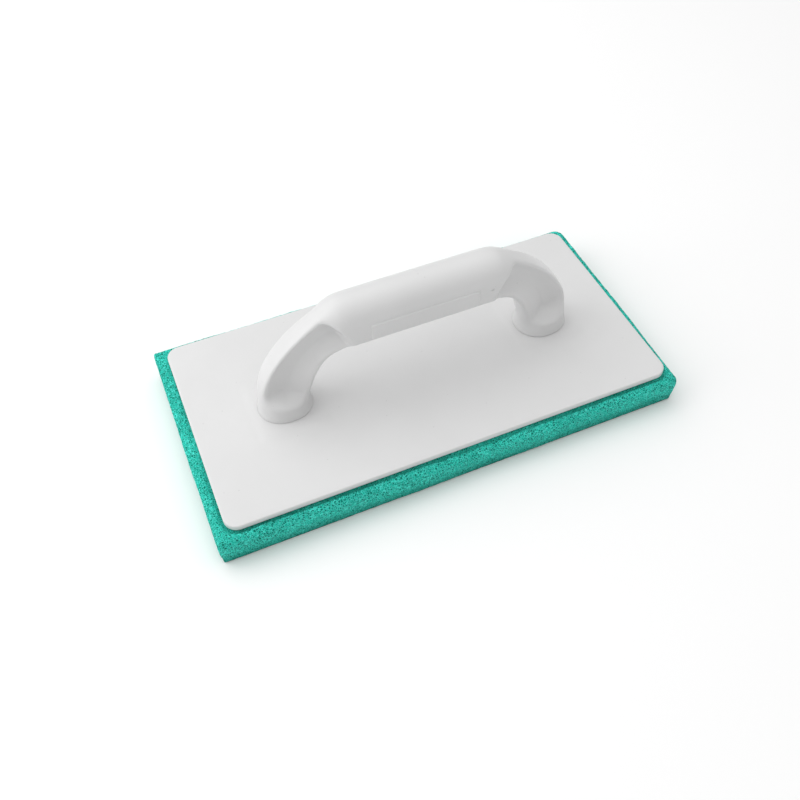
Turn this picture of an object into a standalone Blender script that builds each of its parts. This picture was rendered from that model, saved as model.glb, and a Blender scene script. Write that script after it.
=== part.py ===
"""Grout float: a stiff plastic board with a bridge handle and a sponge pad.

Units are metres, +Z is up and +X runs along the length of the board. The origin is the
centre of the sponge's working face, the lowest face of the tool. From the bottom up:
sponge pad, film of adhesive, board, handle. Four countersunk screws come up through the
board into the handle's feet, and the sponge is glued over their heads.
"""
import math

import bmesh
import bpy
from mathutils import Vector

MM = 0.001

# ---- driving dimensions ------------------------------------------------------------
TOUCH_GAP = 0.3 * MM            # clearance between two pieces that touch
SAME_LEVEL = 0.03 * MM          # two points closer in height than this are on one level
MERGE = 0.01 * MM               # points closer than this are one point

PAD_LENGTH = 293.0 * MM
PAD_WIDTH = 149.0 * MM
PAD_THICKNESS = 20.0 * MM
PAD_CORNER_RADIUS = 4.0 * MM
PAD_TOP_RADIUS = 2.5 * MM
PAD_BOTTOM_RADIUS = 1.2 * MM

GLUE_THICKNESS = 0.4 * MM
GLUE_INSET = 1.5 * MM           # how far the film stops short of the board's edge

BOARD_LENGTH = 280.0 * MM
BOARD_WIDTH = 140.0 * MM
BOARD_THICKNESS = 4.0 * MM
BOARD_CORNER_RADIUS = 8.0 * MM
BOARD_EDGE_RADIUS = 0.8 * MM    # round its top edge
BOARD_UNDER_RADIUS = 0.4 * MM   # round its lower edge
BOARD_CORNER_STEPS = 6
BOARD_X = 1.25 * MM             # the sponge is glued on a little off centre
BOARD_Y = 0.8 * MM

SEAT_LENGTH = 44.0 * MM         # low pad on the board under each foot of the handle
SEAT_WIDTH = 48.0 * MM
SEAT_HEIGHT = 0.25 * MM
SEAT_CORNER_RADIUS = 2.0 * MM
SEAT_RIM = 0.15 * MM
SEAT_CORNER_STEPS = 3

HANDLE_X = BOARD_X + 2.0 * MM
HANDLE_TOP = 71.8 * MM          # above the board's top face
GRIP_UNDERSIDE = 45.5 * MM      # above the board's top face
GRIP_HALF_WIDTH = 13.4 * MM
GRIP_EDGE_RADIUS = 1.5 * MM     # along the two lower edges of the grip
GRIP_TOP_HALF_LENGTH = 48.5 * MM
GRIP_UNDERSIDE_HALF_LENGTH = 43.5 * MM

LEG_HALF_WIDTH = 12.4 * MM
LEG_HALF_DEPTH = 15.2 * MM      # along X, just above the collar
LEG_INNER_RADIUS = 7.2 * MM     # of the two corners on the leg's inner side
LEG_OUTER_RADIUS = 7.5 * MM     # of the two corners on its outer side, out from the middle
LEG_OUTER_RADIUS_DEEP = 5.2 * MM    # the same corners' radius in from the outer line
LEG_CROWN = 1.7 * MM            # how much its outer side is domed
LEAVE_GRIP = 0.42               # share of the leg over which the grip's section fades
NEAR_FOOT = 0.70                # where along the leg its section starts to turn oval
FULL_ROUND = 0.96               # largest corner radius, as a share of half the section

FOOT_X = 85.6 * MM              # centre of a foot from the middle of the handle
FOOT_HALF_LENGTH = 16.7 * MM
FOOT_HALF_WIDTH = 15.2 * MM
COLLAR_HEIGHT = 7.0 * MM        # the foot flares over this height

# The leg's outer and inner lines are curves from the grip to the collar. Each leaves
# the grip at a slope and arrives upright, and a pull is the length of its end tangent.
SHOULDER_SLOPE = math.radians(26.0)
SHOULDER_PULL = 22.0 * MM
OUTER_COLLAR_PULL = 36.0 * MM
ARMPIT_SLOPE = math.radians(9.0)
ARMPIT_PULL = 17.0 * MM
INNER_COLLAR_PULL = 16.0 * MM

# The scoop is a hollow in each side of each leg. Across the leg, -1 is the inner line
# and +1 the outer line. Along the leg, 0 is the end of the grip and 1 the collar.
RIM_HALF_WIDTH = 7.7 * MM       # of the band left along the leg's outer side
WEB_HALF_WIDTH = 4.4 * MM       # of the leg where the scoops are deepest
SCOOP_FLOOR = 0.05              # the scoop's deepest line, across the leg
SCOOP_WALL_CURVE = 2.2          # power of the curve from the floor up to the rim
SCOOP_RISE_CURVE = 1.25         # power of the curve from the floor to the inner side
SCOOP_LIP = 2.6 * MM            # softness of the scoop's edge
SCOOP_START = 0.13              # where it starts on the outer line; 0 on the inner line
SCOOP_START_CURVE = 1.5
SCOOP_START_RAMP = 0.16
SCOOP_END = 0.98
SCOOP_END_RAMP = 0.24

PLAQUE_LENGTH = 67.0 * MM       # blank raised label on the front of the grip
PLAQUE_HEIGHT = 11.4 * MM
PLAQUE_RAISE = 0.7 * MM
PLAQUE_DEPTH = 1.6 * MM         # of its block, most of it inside the grip
PLAQUE_CORNER = 1.0 * MM
PLAQUE_RIM = 0.5 * MM
PLAQUE_FLOOR = 47.4 * MM        # its lower edge above the board's top face

CORE_RADIUS = 5.0 * MM          # of the hollow that runs through the grip
VENT_RADIUS = 2.4 * MM          # of the hollow in each leg, which opens under its foot
VENT_HEIGHT = 14.0 * MM         # over this height it runs upright

SCREW_OFFSET = 8.4 * MM         # of each screw from the centre of its foot, along X
SCREW_LENGTH = 15.0 * MM
SCREW_HEAD_RADIUS = 3.8 * MM
SCREW_THREAD_RADIUS = 2.0 * MM
SCREW_ROOT_RADIUS = 1.4 * MM
SCREW_PITCH = 1.8 * MM
SCREW_TURNS = 5
SCREW_CREST = 0.35              # of the pitch, from a groove to the crest above it
SCREW_HEAD_SINK = 0.2 * MM      # of the head into the board's lower face
SCREW_HEAD_RIM = 0.4 * MM
SCREW_HEAD_GAP = 0.45 * MM      # round the head in its countersink
RECESS_LENGTH = 4.2 * MM        # cross recess in the head
RECESS_WIDTH = 0.9 * MM
RECESS_DEPTH = 1.2 * MM
SCREW_SIDES = 16

GRIP_STATIONS = 4               # sections along half of the grip
LEG_STATIONS = 20
COLLAR_STATIONS = 4
ARC_STEPS = 7                   # along each rounded corner of a section
FLAT_STEPS = 5                  # along each flat side of a section

# ---- levels worked out from them ------------------------------------------------------
GLUE_Z = PAD_THICKNESS + TOUCH_GAP
BOARD_Z = GLUE_Z + GLUE_THICKNESS + TOUCH_GAP
BOARD_TOP = BOARD_Z + BOARD_THICKNESS
FOOT_Z = BOARD_TOP + SEAT_HEIGHT + TOUCH_GAP
HOLE_RADIUS = SCREW_THREAD_RADIUS + TOUCH_GAP
SCREW_Z = BOARD_Z + SCREW_HEAD_SINK
HANDLE_ORIGIN = Vector((HANDLE_X, BOARD_Y, BOARD_TOP))


# ---- scene helpers ----------------------------------------------------------------------
def clear_scene():
    """Remove the objects of the open scene, and the collections of an earlier run."""
    for item in list(bpy.data.objects):
        bpy.data.objects.remove(item, do_unlink=True)
    for group in list(bpy.data.collections):
        bpy.data.collections.remove(group)


def new_collection(name):
    group = bpy.data.collections.new(name)
    bpy.context.scene.collection.children.link(group)
    return group


def new_material(name, colour, roughness, metallic=0.0):
    material = bpy.data.materials.new(name)
    material.use_nodes = True
    shader = material.node_tree.nodes["Principled BSDF"]
    shader.inputs["Base Color"].default_value = (*colour, 1.0)
    shader.inputs["Roughness"].default_value = roughness
    shader.inputs["Metallic"].default_value = metallic
    material.diffuse_color = (*colour, 1.0)
    return material


def new_object(name, mesh, group, location=(0.0, 0.0, 0.0)):
    item = bpy.data.objects.new(name, mesh)
    item.location = location
    group.objects.link(item)
    return item


def new_cutter(name, mesh, group, location=(0.0, 0.0, 0.0)):
    """A cutter or joiner: it shapes other objects and isn't a piece itself."""
    item = new_object(name, mesh, group, location)
    item.hide_render = True
    item.display_type = "WIRE"
    return item


def mesh_from(work, name):
    """Turn a bmesh into a mesh, and free it."""
    mesh = bpy.data.meshes.new(name)
    work.to_mesh(mesh)
    work.free()
    return mesh


def dress(item, material, smooth_angle=math.radians(32.0)):
    """Give a piece its material and its shading."""
    item.data.materials.clear()
    item.data.materials.append(material)
    item.data.shade_smooth()
    item.data.set_sharp_from_angle(angle=smooth_angle)


def add_boolean(item, other, operation="DIFFERENCE"):
    modifier = item.modifiers.new(other.name, "BOOLEAN")
    modifier.operation = operation
    modifier.solver = "EXACT"
    modifier.object = other


def evaluated_mesh(item):
    """Copy an object's mesh as its modifiers leave it."""
    bpy.context.view_layer.update()
    depsgraph = bpy.context.evaluated_depsgraph_get()
    return bpy.data.meshes.new_from_object(item.evaluated_get(depsgraph))


# ---- shapes ------------------------------------------------------------------------------
def slab_mesh(name, size, corner_radius, top_radius=0.0, bottom_radius=0.0, steps=4):
    """A flat block standing on z = 0, with round upright corners and soft rims."""
    work = bmesh.new()
    bmesh.ops.create_cube(work, size=1.0)
    bmesh.ops.scale(work, vec=size, verts=work.verts)
    bmesh.ops.translate(work, vec=(0.0, 0.0, size[2] / 2), verts=work.verts)
    upright = [e for e in work.edges if abs(e.verts[0].co.z - e.verts[1].co.z) > size[2] / 2]
    bmesh.ops.bevel(work, geom=upright, offset=corner_radius, segments=steps, profile=0.5,
                    affect="EDGES")
    for level, radius in ((size[2], top_radius), (0.0, bottom_radius)):
        if radius > 0.0:
            rim = [e for e in work.edges
                   if all(abs(v.co.z - level) < SAME_LEVEL for v in e.verts)]
            bmesh.ops.bevel(work, geom=rim, offset=radius, segments=2, profile=0.5,
                            affect="EDGES")
    return mesh_from(work, name)


def turned_object(name, profile, group, sides=SCREW_SIDES):
    """Turn a profile of (radius, z) points, listed from top to bottom, about Z."""
    mesh = bpy.data.meshes.new(name)
    points = [(radius, 0.0, z) for radius, z in profile]
    mesh.from_pydata(points, [(i, i + 1) for i in range(len(points) - 1)], [])
    item = new_object(name, mesh, group)
    screw = item.modifiers.new("Turn", "SCREW")
    screw.axis = "Z"
    screw.angle = math.tau
    screw.steps = sides
    screw.render_steps = sides
    screw.use_merge_vertices = True
    screw.merge_threshold = MERGE
    return item


def ease(value):
    """A smooth step from 0 to 1."""
    value = min(max(value, 0.0), 1.0)
    return value * value * (3.0 - 2.0 * value)


def mix(first, second, share):
    return first + (second - first) * share


def bezier(start, start_handle, end_handle, end, share):
    rest = 1.0 - share
    return (start * rest ** 3 + start_handle * 3 * rest ** 2 * share
            + end_handle * 3 * rest * share ** 2 + end * share ** 3)


# ---- handle ---------------------------------------------------------------------------
def leg_lines(share):
    """Points of the leg's outer and inner lines, as (x, z) above the board's top face."""
    shoulder = Vector((GRIP_TOP_HALF_LENGTH, HANDLE_TOP))
    armpit = Vector((GRIP_UNDERSIDE_HALF_LENGTH, GRIP_UNDERSIDE))
    outer_collar = Vector((FOOT_X + LEG_HALF_DEPTH, COLLAR_HEIGHT))
    inner_collar = Vector((FOOT_X - LEG_HALF_DEPTH, COLLAR_HEIGHT))
    leave_shoulder = Vector((math.cos(SHOULDER_SLOPE), -math.sin(SHOULDER_SLOPE)))
    leave_armpit = Vector((math.cos(ARMPIT_SLOPE), -math.sin(ARMPIT_SLOPE)))
    outer = bezier(shoulder, shoulder + leave_shoulder * SHOULDER_PULL,
                   outer_collar + Vector((0.0, OUTER_COLLAR_PULL)), outer_collar, share)
    inner = bezier(armpit, armpit + leave_armpit * ARMPIT_PULL,
                   inner_collar + Vector((0.0, INNER_COLLAR_PULL)), inner_collar, share)
    return outer, inner


def half_outline(half_width, half_depth, inner_radius, outer_radii, crown):
    """Half of a section, as (across, out) points from its inner to its outer middle.

    "across" runs from -half_depth on the inner line to +half_depth on the outer line, and
    "out" is the distance from the mid plane. outer_radii are the outer corner's radii
    along the two.
    """
    quarter = math.pi / 2
    corner_in = min(inner_radius, half_width * FULL_ROUND)
    corner_in_deep = min(inner_radius, half_depth * FULL_ROUND)
    corner_deep = min(outer_radii[0], half_depth * FULL_ROUND)
    corner_out = min(outer_radii[1], half_width * FULL_ROUND)
    points = [(-half_depth, 0.0)]
    for step in range(ARC_STEPS + 1):
        turn = quarter * step / ARC_STEPS
        points.append((-half_depth + corner_in_deep * (1.0 - math.cos(turn)),
                       half_width - corner_in + corner_in * math.sin(turn)))
    flat_start = -half_depth + corner_in_deep
    flat_end = half_depth - corner_deep
    for step in range(1, FLAT_STEPS):
        points.append((mix(flat_start, flat_end, step / FLAT_STEPS), half_width))
    for step in range(ARC_STEPS + 1):
        turn = quarter * step / ARC_STEPS
        points.append((flat_end + corner_deep * math.sin(turn),
                       half_width - corner_out + corner_out * math.cos(turn)))
    points.append((half_depth, 0.0))
    return [(across - crown * (out / half_width) ** 2 * max(across, 0.0) / half_depth, out)
            for across, out in points]


def soft_minimum(first, second, softness):
    near = max(softness - abs(first - second), 0.0) / softness
    return min(first, second) - near * near * softness / 4.0


def scooped(out, across, along):
    """How far out the leg's side is once scooped, at a place on its section.

    The scoop drops from the rim to its floor, then rises to the leg's inner side.
    """
    if across > SCOOP_FLOOR:
        rise = (across - SCOOP_FLOOR) / (1.0 - SCOOP_FLOOR)
        wall = mix(WEB_HALF_WIDTH, RIM_HALF_WIDTH, rise ** SCOOP_WALL_CURVE)
    else:
        rise = (SCOOP_FLOOR - across) / (1.0 + SCOOP_FLOOR)
        wall = mix(WEB_HALF_WIDTH, LEG_HALF_WIDTH, rise ** SCOOP_RISE_CURVE)
    start = SCOOP_START * ((1.0 + across) / 2) ** SCOOP_START_CURVE
    ends = (ease((along - start) / SCOOP_START_RAMP)
            * ease((SCOOP_END - along) / SCOOP_END_RAMP))
    return mix(out, min(out, max(soft_minimum(out, wall, SCOOP_LIP), 0.0)), ends)


def handle_sections():
    """Sections of half of the handle, from its middle to the underside of the foot.

    Each is (outer point, inner point, half outline), with the points in (x, z).
    """
    sections = []
    for station in range(GRIP_STATIONS):
        share = station / GRIP_STATIONS
        outer = Vector((GRIP_TOP_HALF_LENGTH * share, HANDLE_TOP))
        inner = Vector((GRIP_UNDERSIDE_HALF_LENGTH * share, GRIP_UNDERSIDE))
        outline = half_outline(GRIP_HALF_WIDTH, (outer - inner).length / 2, GRIP_EDGE_RADIUS,
                               (GRIP_HALF_WIDTH, GRIP_HALF_WIDTH), 0.0)
        sections.append((outer, inner, outline))
    for station in range(LEG_STATIONS + 1):
        along = station / LEG_STATIONS
        outer, inner = leg_lines(along)
        half_depth = (outer - inner).length / 2
        leave_grip = ease(along / LEAVE_GRIP)
        near_foot = ease((along - NEAR_FOOT) / (1.0 - NEAR_FOOT))
        half_width = mix(GRIP_HALF_WIDTH, LEG_HALF_WIDTH, leave_grip)
        inner_radius = mix(mix(GRIP_EDGE_RADIUS, LEG_INNER_RADIUS, leave_grip),
                           half_width, near_foot)
        corner_deep = mix(mix(GRIP_HALF_WIDTH, LEG_OUTER_RADIUS_DEEP, leave_grip),
                          half_depth, near_foot)
        corner_out = mix(mix(GRIP_HALF_WIDTH, LEG_OUTER_RADIUS, leave_grip),
                         half_width, near_foot)
        crown = LEG_CROWN * leave_grip * (1.0 - near_foot)
        outline = half_outline(half_width, half_depth, inner_radius,
                               (corner_deep, corner_out), crown)
        outline = [(across, scooped(out, min(max(across / half_depth, -1.0), 1.0), along))
                   for across, out in outline]
        sections.append((outer, inner, outline))
    for station in range(1, COLLAR_STATIONS + 1):
        share = station / COLLAR_STATIONS
        level = mix(COLLAR_HEIGHT, FOOT_Z - BOARD_TOP, share)
        flare = ease(share)
        half_depth = mix(LEG_HALF_DEPTH, FOOT_HALF_LENGTH, flare)
        half_width = mix(LEG_HALF_WIDTH, FOOT_HALF_WIDTH, flare)
        outer = Vector((FOOT_X + half_depth, level))
        inner = Vector((FOOT_X - half_depth, level))
        outline = half_outline(half_width, half_depth, half_width, (half_depth, half_width), 0.0)
        sections.append((outer, inner, outline))
    return sections


def handle_quarter_mesh():
    """The quarter of the handle at +X and +Y, open at both mid planes."""
    work = bmesh.new()
    rows = []
    for outer, inner, outline in handle_sections():
        centre = (outer + inner) / 2
        direction = (outer - inner).normalized()
        row = []
        for across, out in outline:
            spot = centre + direction * across
            row.append(work.verts.new((spot.x, out, spot.y)))
        rows.append(row)
    for this_row, next_row in zip(rows, rows[1:]):
        for column in range(len(this_row) - 1):
            work.faces.new((this_row[column], this_row[column + 1],
                            next_row[column + 1], next_row[column]))
    work.faces.new(rows[-1])
    return mesh_from(work, "handle")


def core_mesh(cutters):
    """The hollow: a tube through the grip, narrower down each leg, open under the feet."""
    path = [(-FOOT_X, FOOT_Z - BOARD_TOP - VENT_RADIUS, VENT_RADIUS),
            (-FOOT_X, VENT_HEIGHT, VENT_RADIUS)]
    for station in range(LEG_STATIONS, -1, -2):
        outer, inner = leg_lines(station / LEG_STATIONS)
        centre = (outer + inner) / 2
        if centre.y > VENT_HEIGHT + CORE_RADIUS:
            radius = VENT_RADIUS if station > 0 else CORE_RADIUS
            path.append((-centre.x, centre.y, radius))
    path = path + [(-x, z, radius) for x, z, radius in reversed(path)]
    curve = bpy.data.curves.new("handle_core", "CURVE")
    curve.dimensions = "3D"
    curve.bevel_depth = 1.0
    curve.bevel_resolution = 1
    curve.use_fill_caps = True
    spline = curve.splines.new("POLY")
    spline.points.add(len(path) - 1)
    for point, (x, z, radius) in zip(spline.points, path):
        point.co = (x, 0.0, z, 1.0)
        point.radius = radius
    tube = new_object("handle_core_curve", curve, cutters)
    mesh = evaluated_mesh(tube)
    bpy.data.objects.remove(tube, do_unlink=True)
    work = bmesh.new()
    work.from_mesh(mesh)
    bmesh.ops.remove_doubles(work, verts=work.verts, dist=MERGE)
    bmesh.ops.recalc_face_normals(work, faces=work.faces)
    return mesh_from(work, "handle_core")


def foot_screw_places():
    """Name and x of each screw: two in each foot, in line with the handle."""
    places = []
    for side, foot_x in (("left", -FOOT_X), ("right", FOOT_X)):
        for place, offset in (("inner", -SCREW_OFFSET), ("outer", SCREW_OFFSET)):
            places.append((side + "_" + place, foot_x + math.copysign(offset, foot_x * offset)))
    return places


def make_handle(parts, cutters, material):
    handle = new_object("handle", handle_quarter_mesh(), parts, HANDLE_ORIGIN)
    mirror = handle.modifiers.new("Mirror", "MIRROR")
    mirror.use_axis = (True, True, False)
    mirror.merge_threshold = MERGE
    plaque = slab_mesh("plaque", (PLAQUE_LENGTH, PLAQUE_HEIGHT, PLAQUE_DEPTH),
                       PLAQUE_CORNER, PLAQUE_RIM)
    place = HANDLE_ORIGIN + Vector((0.0, -GRIP_HALF_WIDTH - PLAQUE_RAISE + PLAQUE_DEPTH,
                                    PLAQUE_FLOOR + PLAQUE_HEIGHT / 2))
    plaque_block = new_cutter("plaque", plaque, cutters, place)
    plaque_block.rotation_euler = (math.pi / 2, 0.0, 0.0)
    add_boolean(handle, plaque_block, "UNION")
    add_boolean(handle, new_cutter("handle_core", core_mesh(cutters), cutters, HANDLE_ORIGIN))
    tip = SCREW_Z + SCREW_LENGTH
    profile = [(0.0, tip + SCREW_THREAD_RADIUS), (HOLE_RADIUS, tip + TOUCH_GAP),
               (HOLE_RADIUS, BOARD_TOP - TOUCH_GAP), (0.0, BOARD_TOP - TOUCH_GAP)]
    pilot = turned_object("pilot_hole", profile, cutters, SCREW_SIDES)
    pilot_mesh = evaluated_mesh(pilot)
    bpy.data.objects.remove(pilot, do_unlink=True)
    for name, x in foot_screw_places():
        hole = new_cutter("pilot_" + name, pilot_mesh, cutters, (HANDLE_X + x, BOARD_Y, 0.0))
        add_boolean(handle, hole)
    dress(handle, material)


# ---- board, screws, glue and sponge ---------------------------------------------------
def make_board(parts, cutters, material):
    size = (BOARD_LENGTH, BOARD_WIDTH, BOARD_THICKNESS)
    mesh = slab_mesh("base_plate", size, BOARD_CORNER_RADIUS, BOARD_EDGE_RADIUS,
                     BOARD_UNDER_RADIUS, BOARD_CORNER_STEPS)
    board = new_object("base_plate", mesh, parts, (BOARD_X, BOARD_Y, BOARD_Z))
    seat_block = (SEAT_LENGTH, SEAT_WIDTH, BOARD_THICKNESS / 2 + SEAT_HEIGHT)
    seat = slab_mesh("foot_seat", seat_block, SEAT_CORNER_RADIUS, SEAT_RIM,
                     steps=SEAT_CORNER_STEPS)
    for side, foot_x in (("left", -FOOT_X), ("right", FOOT_X)):
        place = (HANDLE_X + foot_x, BOARD_Y, BOARD_Z + BOARD_THICKNESS / 2)
        add_boolean(board, new_cutter("seat_" + side, seat, cutters, place), "UNION")
    below = BOARD_Z - SCREW_HEAD_GAP
    head = SCREW_HEAD_RADIUS + SCREW_HEAD_GAP
    sink = SCREW_Z + SCREW_HEAD_RIM
    profile = [(0.0, FOOT_Z), (HOLE_RADIUS, FOOT_Z), (HOLE_RADIUS, sink + head - HOLE_RADIUS),
               (head, sink), (head, below), (0.0, below)]
    turned = turned_object("countersunk_hole", profile, cutters, SCREW_SIDES)
    hole_mesh = evaluated_mesh(turned)
    bpy.data.objects.remove(turned, do_unlink=True)
    for name, x in foot_screw_places():
        hole = new_cutter("hole_" + name, hole_mesh, cutters, (HANDLE_X + x, BOARD_Y, 0.0))
        add_boolean(board, hole)
    dress(board, material)


def screw_profile():
    """Half section of a countersunk self-tapping screw, point up, head at z = 0."""
    shank_top = SCREW_HEAD_RIM + SCREW_HEAD_RADIUS - SCREW_ROOT_RADIUS
    thread_length = SCREW_PITCH * SCREW_TURNS
    thread_start = SCREW_LENGTH - SCREW_THREAD_RADIUS - thread_length
    profile = [(0.0, SCREW_LENGTH), (SCREW_ROOT_RADIUS, SCREW_LENGTH - SCREW_THREAD_RADIUS)]
    for turn in range(SCREW_TURNS - 1, -1, -1):
        level = thread_start + SCREW_PITCH * turn
        profile.append((SCREW_THREAD_RADIUS, level + SCREW_PITCH * SCREW_CREST))
        profile.append((SCREW_ROOT_RADIUS, level))
    profile += [(SCREW_ROOT_RADIUS, shank_top), (SCREW_HEAD_RADIUS, SCREW_HEAD_RIM),
                (SCREW_HEAD_RADIUS, 0.0), (0.0, 0.0)]
    return profile


def make_screws(parts, cutters, material):
    """One screw is turned and its cross recess is cut, and four objects share its mesh."""
    pattern = turned_object("screw_pattern", screw_profile(), cutters)
    for name, size in (("recess_along", (RECESS_LENGTH, RECESS_WIDTH, 2 * RECESS_DEPTH)),
                       ("recess_across", (RECESS_WIDTH, RECESS_LENGTH, 2 * RECESS_DEPTH))):
        work = bmesh.new()
        bmesh.ops.create_cube(work, size=1.0)
        bmesh.ops.scale(work, vec=size, verts=work.verts)
        add_boolean(pattern, new_cutter(name, mesh_from(work, name), cutters))
    mesh = evaluated_mesh(pattern)
    mesh.name = "screw"
    bpy.data.objects.remove(pattern, do_unlink=True)
    for name, x in foot_screw_places():
        screw = new_object("screw_" + name, mesh, parts, (HANDLE_X + x, BOARD_Y, SCREW_Z))
        dress(screw, material)


def make_glue(parts, material):
    size = (BOARD_LENGTH - 2 * GLUE_INSET, BOARD_WIDTH - 2 * GLUE_INSET, GLUE_THICKNESS)
    mesh = slab_mesh("adhesive_layer", size, BOARD_CORNER_RADIUS - GLUE_INSET)
    glue = new_object("adhesive_layer", mesh, parts, (BOARD_X, BOARD_Y, GLUE_Z))
    dress(glue, material)


def make_pad(parts, material):
    size = (PAD_LENGTH, PAD_WIDTH, PAD_THICKNESS)
    mesh = slab_mesh("sponge_pad", size, PAD_CORNER_RADIUS, PAD_TOP_RADIUS,
                     PAD_BOTTOM_RADIUS)
    dress(new_object("sponge_pad", mesh, parts), material)


def main():
    clear_scene()
    parts = new_collection("grout_float")
    cutters = new_collection("cutters")
    white = new_material("white_plastic", (0.70, 0.70, 0.70), 0.42)
    steel = new_material("zinc_plated_steel", (0.60, 0.61, 0.62), 0.34, 1.0)
    amber = new_material("contact_adhesive", (0.62, 0.42, 0.16), 0.50)
    green = new_material("sponge_foam", (0.045, 0.44, 0.35), 0.90)
    make_pad(parts, green)
    make_glue(parts, amber)
    make_board(parts, cutters, white)
    make_screws(parts, cutters, steel)
    make_handle(parts, cutters, white)


main()
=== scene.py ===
"""The looks of the grout float: white moulded board and handle on a green foam pad.

Everything is in metres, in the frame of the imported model. Shapes are worked out from the
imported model's own boxes, so nothing here moves or resizes a part.
"""
import math

import bmesh
import bpy
import numpy as np
from mathutils import Matrix, Vector, noise


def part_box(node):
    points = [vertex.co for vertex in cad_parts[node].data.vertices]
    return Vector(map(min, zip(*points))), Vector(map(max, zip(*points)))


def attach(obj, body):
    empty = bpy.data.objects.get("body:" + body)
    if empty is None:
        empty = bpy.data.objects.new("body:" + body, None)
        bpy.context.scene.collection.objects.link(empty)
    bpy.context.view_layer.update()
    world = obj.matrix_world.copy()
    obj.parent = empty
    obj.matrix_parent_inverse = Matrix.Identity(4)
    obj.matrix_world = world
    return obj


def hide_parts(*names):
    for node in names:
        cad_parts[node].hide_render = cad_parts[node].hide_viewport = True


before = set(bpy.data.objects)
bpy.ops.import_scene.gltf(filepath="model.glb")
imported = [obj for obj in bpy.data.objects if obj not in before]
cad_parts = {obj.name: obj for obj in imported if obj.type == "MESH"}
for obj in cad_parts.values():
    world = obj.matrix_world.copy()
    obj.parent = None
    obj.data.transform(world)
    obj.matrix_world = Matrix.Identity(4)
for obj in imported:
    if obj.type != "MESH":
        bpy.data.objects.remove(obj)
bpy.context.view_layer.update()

MM = 0.001
TOUCHING = 0.01 * MM            # places closer than this count as one

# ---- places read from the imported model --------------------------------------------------
PAD_LOW, PAD_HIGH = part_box("sponge_pad")
GLUE_LOW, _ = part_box("adhesive_layer")
BOARD_LOW, BOARD_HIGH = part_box("base_plate")
HANDLE_LOW, HANDLE_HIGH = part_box("handle")
SCREW_NODES = sorted(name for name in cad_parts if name.startswith("screw_"))
SEAT_HEIGHT = 0.25 * MM         # of the low pads under the handle's feet
BOARD_TOP = BOARD_HIGH.z - SEAT_HEIGHT
BOARD_MIDDLE = Vector(((BOARD_LOW.x + BOARD_HIGH.x) / 2, (BOARD_LOW.y + BOARD_HIGH.y) / 2,
                       BOARD_TOP))
HANDLE_X = (HANDLE_LOW.x + HANDLE_HIGH.x) / 2

# ---- camera ---------------------------------------------------------------------------
# From the middle of the board's top face: where the camera stands and what it looks at.
CAMERA_FROM = Vector((-0.1396, -0.3174, 0.4063))
CAMERA_AT = Vector((-0.0198, -0.0252, 0.0))
CAMERA_ROLL = math.radians(-0.97)
CAMERA_LENS = 38.72             # mm
CAMERA_SENSOR = 36.0            # mm wide
CAMERA_NEAREST = 0.01
CAMERA_FARTHEST = 20.0

# ---- light and floor ----------------------------------------------------------------------
SKY_AT_HORIZON = 0.24
SKY_OVERHEAD = 1.09
AREA_LIGHTS = (                 # name, place, diameter, and power in watts
    ("key", (-0.38, 0.72, 1.12), 1.4, 4.4),
    ("left", (-1.12, 0.26, 0.66), 1.2, 5.8),
)
LIGHTS_AIM_AT = (0.0, 0.0, 0.03)
FLOOR_HALF_SIZE = 3.0
FLOOR_DROP = 0.2 * MM           # below the pad's working face
FLOOR_WHITE = (0.96, 0.96, 0.96)
FLOOR_ROUGHNESS = 0.9
FLOOR_SPECULAR = 0.1

# ---- handle, in metres from the middle of the board's top face -----------------------------
HANDLE_TOP = HANDLE_HIGH.z - BOARD_TOP
FOOT_LEVEL = HANDLE_LOW.z - BOARD_TOP
FOOT_HALF_WIDTH = 15.2 * MM
FOOT_HALF_LENGTH = 16.7 * MM
FOOT_X = (HANDLE_HIGH.x - HANDLE_LOW.x) / 2 - FOOT_HALF_LENGTH
COLLAR_HEIGHT = 7.0 * MM
GRIP_UNDERSIDE = 45.5 * MM
GRIP_HALF_WIDTH = 13.4 * MM
GRIP_EDGE_RADIUS = 1.5 * MM
GRIP_TOP_HALF_LENGTH = 48.5 * MM
GRIP_UNDERSIDE_HALF_LENGTH = 43.5 * MM
LEG_HALF_WIDTH = 12.4 * MM
LEG_HALF_DEPTH = 15.2 * MM
ANKLE_HALF_WIDTH = 14.3 * MM    # where the leg meets the collar
LEG_INNER_RADIUS = 7.2 * MM
LEG_OUTER_RADIUS = 7.5 * MM
LEG_OUTER_SQUASH = 0.7          # of that radius, along the depth of the section
LEG_CROWN = 1.7 * MM
LEAVE_GRIP = 0.42               # share of the leg that takes up the change from the grip
NEAR_FOOT = 0.70                # share of the leg where it starts to turn oval
NEAR_FOOT_RAMP = 0.30
FULLEST_CORNER = 0.96           # a corner's most, as a share of the half width or depth
SHOULDER_SLOPE = math.radians(26.0)
SHOULDER_PULL = 22.0 * MM
OUTER_COLLAR_PULL = 36.0 * MM
ARMPIT_SLOPE = math.radians(9.0)
ARMPIT_PULL = 17.0 * MM
INNER_COLLAR_PULL = 16.0 * MM
RIM_HALF_WIDTH = 7.7 * MM       # of the flat band left along the leg's outer side
WEB_HALF_WIDTH = 3.4 * MM       # where the scoop in each side is deepest
SCOOP_FLOOR = 0.05              # its deepest line: 0 on the leg's middle, 1 on its outer side
SCOOP_WALL_CURVE = 2.2
SCOOP_RISE_CURVE = 1.25
SCOOP_LIP = 4.8 * MM            # softness of its edge
SCOOP_START = 0.13              # along the leg, at the outer side; 0 at the inner side
SCOOP_START_CURVE = 1.5
SCOOP_START_RAMP = 0.085
SCOOP_END = 0.97
SCOOP_END_RAMP = 0.11
SMOOTHING_PASSES = 14           # along the handle, to soften the turn at each shoulder
PLAQUE_LENGTH = 67.0 * MM
PLAQUE_HEIGHT = 11.4 * MM
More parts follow.
